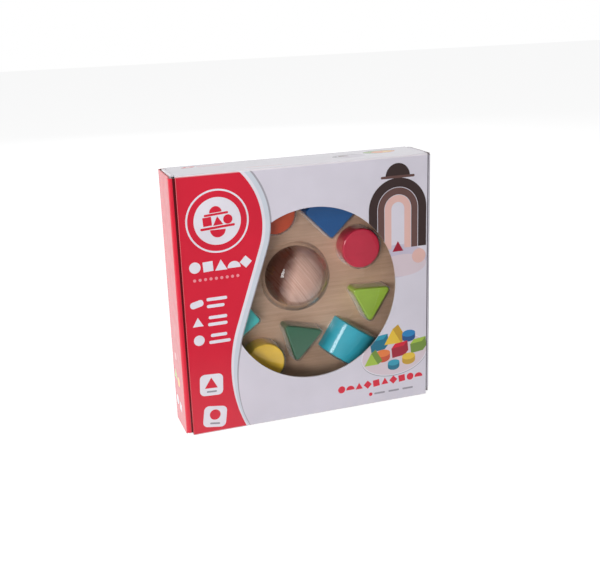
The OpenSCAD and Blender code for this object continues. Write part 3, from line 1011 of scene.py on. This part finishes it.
def vault(solid, node, rise):
    """Bubble over the half round block: a vault with eased ends on a small foot. Gives the foot's ring."""
    r, half = HALF_ROUND_R + BUBBLE_CLEAR, HALF_ROUND_LEN / 2 + BUBBLE_CLEAR
    ease = arc((0, 0), VAULT_EASE, 0, 90, steps=5)
    ends = mirrored([(half, VAULT_TIP)] + [(half - VAULT_EASE + p.x, r - VAULT_EASE + p.y) for p in ease])
    rows = []
    for a, q in ends:
        section = arc((0, 0), q, 0, 180, steps=32)
        rows.append(solid.ring([on_board(node, [(a, p.x)], rise + VAULT_FOOT + p.y)[0] for p in section]))
    for a, b in zip(rows, rows[1:]):
        solid.faces += [(a[i], a[i + 1], b[i + 1], b[i]) for i in range(len(a) - 1)]
    base = [row[0] for row in rows] + [row[-1] for row in reversed(rows)]
    plan = [(a * (1 + VAULT_LIP / half), q * (1 + VAULT_LIP / r)) for a, q in ends]
    ring = solid.ring(on_board(node, plan + [(a, -q) for a, q in reversed(plan)], rise))
    solid.bridge(base, ring)
    return ring


def formed_cover(sheet, dome):
    """Clear sheet formed over the board: flange, round step, and a bubble over each piece.
    The dome over the half ball has a material of its own."""
    solid = Solid()
    base = BOARD_BACK - FILM_T / 2
    step = base - (BOARD_FRONT - FILM_T)
    profile = wall_profile(BOARD_R, step, STEP_FOOT, STEP_SHOULDER)
    wall = solid.loft([[(p.x, base - h, p.y) for p in disc((0, BOARD_Z), r, steps=192)] for r, h in profile])
    size, c = COVER_HIGH - COVER_LOW, (COVER_HIGH + COVER_LOW) / 2
    corners = box((c.x, c.z), size.x - 2 * FLANGE_INSET, size.z - 2 * FLANGE_INSET, r=FLANGE_R)
    flange = solid.ring([(p.x, base, p.y) for p in corners])
    solid.fill(flange, [wall[0]])
    feet = []
    for node in PLACES:
        if "half_round" in node:
            feet.append(vault(solid, node, FILM_T))
            continue
        rings = solid.loft(dome_rings(FILM_T) if node == "half_ball" else film_rings(node, FILM_T))
        solid.cap(rings[-1])
        feet.append(rings[0])
    solid.fill(wall[-1], feet)
    o = solid.piece("formed_cover", sheet)
    o.data.materials.append(dome)
    for p in o.data.polygons:
        offset = p.center / MM - BALL_MIDDLE
        if math.hypot(offset.x, offset.z) < BALL_R + DOME_CLEAR + DOME_FLANGE:
            p.material_index = 1
    if sum(p.normal.y * p.area for p in o.data.polygons) > 0:
        o.data.flip_normals()
    thick = o.modifiers.new("film", "SOLIDIFY")
    thick.thickness = FILM_T * MM
    thick.offset = 0
    o.visible_shadow = False
    o.visible_diffuse = False
    return o


# Camera, light and ground


def add_camera():
    """Camera that took the photograph."""
    az, el, roll = (math.radians(a) for a in (CAMERA_AZ, CAMERA_EL, CAMERA_ROLL))
    back = Vector((math.sin(az) * math.cos(el), -math.cos(az) * math.cos(el), math.sin(el)))
    right = Vector((0, 0, 1)).cross(back).normalized()
    up = back.cross(right)
    tilted = right * math.cos(roll) + up * math.sin(roll)
    upright = up * math.cos(roll) - right * math.sin(roll)
    data = bpy.data.cameras.new("camera")
    data.sensor_fit = "HORIZONTAL"
    data.sensor_width = SENSOR
    data.lens = FOCAL_PX / IMAGE_W * SENSOR
    o = add_object("camera", data)
    turn = Matrix((tilted, upright, back)).transposed()
    o.matrix_world = Matrix.Translation(CAMERA_AT) @ turn.to_4x4()
    bpy.context.scene.camera = o


def add_lamp(name, at, aim_z, width, height, power, glints):
    """Area lamp, aimed at a height above the middle of the carton."""
    data = bpy.data.lights.new(name, "AREA")
    data.shape = "RECTANGLE"
    data.size, data.size_y = width, height
    data.energy = power
    o = add_object(name, data)
    o.location = at
    o.rotation_euler = (Vector((0, 0, aim_z)) - Vector(at)).to_track_quat("-Z", "Y").to_euler()
    o.visible_camera = False
    o.visible_glossy = glints


def seen_directly(tree):
    """1 for camera, glossy and transmission rays, else 0."""
    path = tree.nodes.new("ShaderNodeLightPath").outputs
    seen = path["Is Camera Ray"]
    for ray in ("Is Glossy Ray", "Is Transmission Ray"):
        seen = computed(tree, "MAXIMUM", seen, path[ray])
    return seen


def add_world():
    """White behind the object; soft light on it; a dimmer room behind the camera in its reflections."""
    world = bpy.data.worlds.new("studio")
    world.use_nodes = True
    tree = world.node_tree
    soft = tree.nodes["Background"]
    feed(tree, soft, {"Color": WORLD_TINT, "Strength": WORLD_LIGHT})
    glossy = tree.nodes.new("ShaderNodeLightPath").outputs["Is Glossy Ray"]
    direction = add_node(tree, "ShaderNodeSeparateXYZ", {0: object_place(tree, "Generated")}).outputs["Y"]
    room = spread(tree, direction, ROOM_SHINE, 1, *ROOM_FADE)
    shine = add_node(tree, "ShaderNodeMix", {0: glossy, 2: 1.0, 3: room}).outputs[0]
    white = add_node(tree, "ShaderNodeBackground", {"Color": (1, 1, 1, 1), "Strength": shine})
    both = mixed_shader(tree, seen_directly(tree), soft.outputs[0], white.outputs[0])
    tree.links.new(both, tree.nodes["World Output"].inputs["Surface"])
    bpy.context.scene.world = world


def add_floor():
    """White ground with a faint shadow, dimmer in reflections where it lies before the object."""
    mesh = bpy.data.meshes.new("floor")
    corners = box((0, 0), 2 * GROUND_REACH, 2 * GROUND_REACH)
    mesh.from_pydata([(p.x, p.y, GROUND_DROP) for p in corners], [], [(0, 1, 2, 3)])
    material, tree, bsdf, place = new_material("white_ground")
    bounce, lit_by_lamps = ((v, v, v, 1) for v in (GROUND_BOUNCE, GROUND_LIT))
    feed(tree, bsdf, {"Base Color": bounce, "Roughness": 1.0, "Specular IOR Level": 0.0})

    def glow(strength):
        return add_node(tree, "ShaderNodeEmission", {"Color": (1, 1, 1, 1), "Strength": strength}).outputs[0]

    lit = add_node(tree, "ShaderNodeBsdfDiffuse", {"Color": lit_by_lamps}).outputs[0]
    seen = add_node(tree, "ShaderNodeAddShader", {0: lit, 1: glow(GROUND_GLOW)}).outputs[0]
    both = mixed_shader(tree, seen_directly(tree), bsdf.outputs[0], seen)
    depth = add_node(tree, "ShaderNodeSeparateXYZ", {0: place}).outputs["Y"]
    before = spread(tree, depth, 1, 0, *GROUND_FADE)
    glossy = tree.nodes.new("ShaderNodeLightPath").outputs["Is Glossy Ray"]
    shown = mixed_shader(tree, product(tree, before, glossy), both, glow(ROOM_SHINE))
    tree.links.new(shown, tree.nodes["Material Output"].inputs["Surface"])
    mesh.materials.append(material)
    add_object("floor", mesh)


# Everything in place

add_camera()
add_world()
add_floor()
for name, lamp in LAMPS.items():
    add_lamp(name, *lamp)

settle(sleeve(), "front_panel", "carton", "card_white",
       "back_panel", "top_panel", "bottom_panel", "glue_flap")

LEFT_PRINTS = [("white", disc((13, 24), 5)), ("lime", ngon((13, 51), 7, 3)), ("yellow", disc((1, 47), 5)),
               ("white", box((0, 21), 8.5, 8.5, 12)), ("pink", disc((8, 72), 4))]
RIGHT_PRINTS = [("red", box((2, 30), 30, 34)), ("white", disc((10, 30), 6)), ("white", ngon((-6, 29), 8, 3))]
ENDS = (("left", -1, "red", LEFT_PRINTS, "card_red"), ("right", 1, "paper", RIGHT_PRINTS, "card_white"))
for side, sign, ink, prints, slot in ENDS:
    node = f"{side}_tuck_flap"
    settle(tuck_flap(f"{side}_flap_card", sign, ink, prints), node, node + "_body", slot)
    node = f"{side}_tongue"
    settle(tongue(f"{side}_tongue_card", sign, ink), node, node + "_body", slot)
    for end in ("top", "bottom"):
        node = f"{side}_{end}_dust_flap"
        card = dust_flap(f"{side}_{end}_dust_card", sign, end == "bottom")
        settle(card, node, node + "_body", "card_white")

cover = formed_cover(film_material("clear_film", *SHEET_LOOK), film_material("clear_dome", *DOME_LOOK))
settle(cover, "blister_cover", "carton", "clear_film")

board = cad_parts["balance_board"]
board.data.materials.clear()
board.data.materials.append(wood_material(
    "board_wood", pale=(222, 185, 160), dark=(200, 161, 136),
    lean=0, streak_mm=3.2, contrast=0.3, rough=0.4))

ball_wood = wood_material(
    "ball_wood", pale=(231, 192, 177), dark=(196, 148, 131),
    lean=-55, streak_mm=0.9, contrast=0.23, rough=0.3)
# Painted shade darkens the ball's upper left side
add_painted_shade(ball_wood, BALL_MIDDLE)
settle(half_ball(ball_wood), "half_ball", "carton", "ball_wood")

for node in PLACES:
    if node == "half_ball":
        continue
    colour = node.split("_")[0]
    make = half_round_block if "half_round" in node else block
    settle(make(node, paint_material("paint_" + node, PAINTS[colour])), node, "carton", colour + "_paint")

bpy.context.scene.view_settings.view_transform = "Standard"
